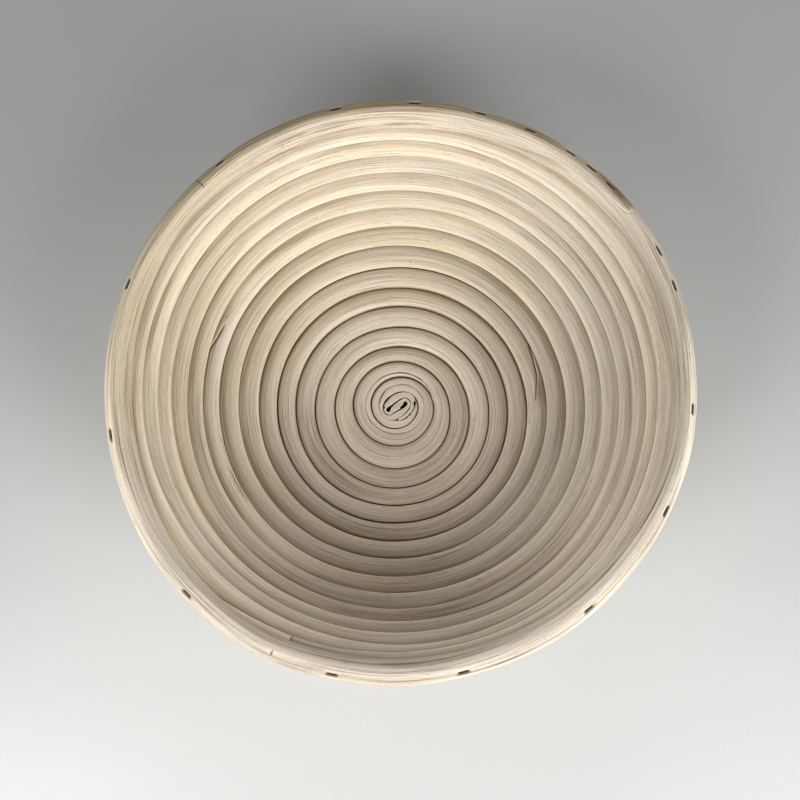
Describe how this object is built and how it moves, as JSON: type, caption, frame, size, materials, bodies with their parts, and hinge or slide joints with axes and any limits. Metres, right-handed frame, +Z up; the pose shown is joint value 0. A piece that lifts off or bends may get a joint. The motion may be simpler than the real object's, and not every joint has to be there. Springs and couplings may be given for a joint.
{
  "type": "bread proofing basket",
  "caption": "Round coiled-cane proofing basket: a spiral of split rattan wound into a flat floor and flared wall, stapled turn to turn, with a level rim hoop on top.",
  "frame": {"origin": "on the rim's axis, in the plane the basket stands on", "axes": "+Z up out of the mouth, +X to the right and +Y away from the viewer in the picture"},
  "size_m": [0.2504, 0.2504, 0.0812],
  "materials": {
    "cane": "dry, unvarnished rattan core with fine lengthwise fibre",
    "staple_wire": "dull, lightly rusted flat wire"
  },
  "bodies": {
    "root": {"core_strip": "cane", "cane_length_1": "cane", "cane_length_2": "cane", "cane_length_3": "cane", "cane_length_4": "cane", "end_wedge": "cane", "rim_hoop": "cane", "rim_staple_01": "staple_wire", "rim_staple_02": "staple_wire", "rim_staple_03": "staple_wire", "rim_staple_04": "staple_wire", "rim_staple_05": "staple_wire", "rim_staple_06": "staple_wire", "rim_staple_07": "staple_wire", "rim_staple_08": "staple_wire", "rim_staple_09": "staple_wire", "rim_staple_10": "staple_wire", "rim_staple_11": "staple_wire", "rim_staple_12": "staple_wire", "rim_staple_13": "staple_wire", "rim_staple_14": "staple_wire", "rim_staple_15": "staple_wire", "rim_staple_16": "staple_wire", "rim_staple_17": "staple_wire", "rim_staple_18": "staple_wire", "coil_staple_01": "staple_wire", "coil_staple_02": "staple_wire", "coil_staple_03": "staple_wire", "coil_staple_04": "staple_wire", "coil_staple_05": "staple_wire", "coil_staple_06": "staple_wire", "coil_staple_07": "staple_wire", "coil_staple_08": "staple_wire", "coil_staple_09": "staple_wire", "coil_staple_10": "staple_wire", "coil_staple_11": "staple_wire", "coil_staple_12": "staple_wire", "coil_staple_13": "staple_wire", "coil_staple_14": "staple_wire", "coil_staple_15": "staple_wire", "coil_staple_16": "staple_wire", "coil_staple_17": "staple_wire", "coil_staple_18": "staple_wire", "coil_staple_19": "staple_wire", "coil_staple_20": "staple_wire", "coil_staple_21": "staple_wire", "coil_staple_22": "staple_wire", "coil_staple_23": "staple_wire", "coil_staple_24": "staple_wire", "coil_staple_25": "staple_wire", "coil_staple_26": "staple_wire", "coil_staple_27": "staple_wire", "coil_staple_28": "staple_wire", "coil_staple_29": "staple_wire", "coil_staple_30": "staple_wire"}
  },
  "joints": []
}
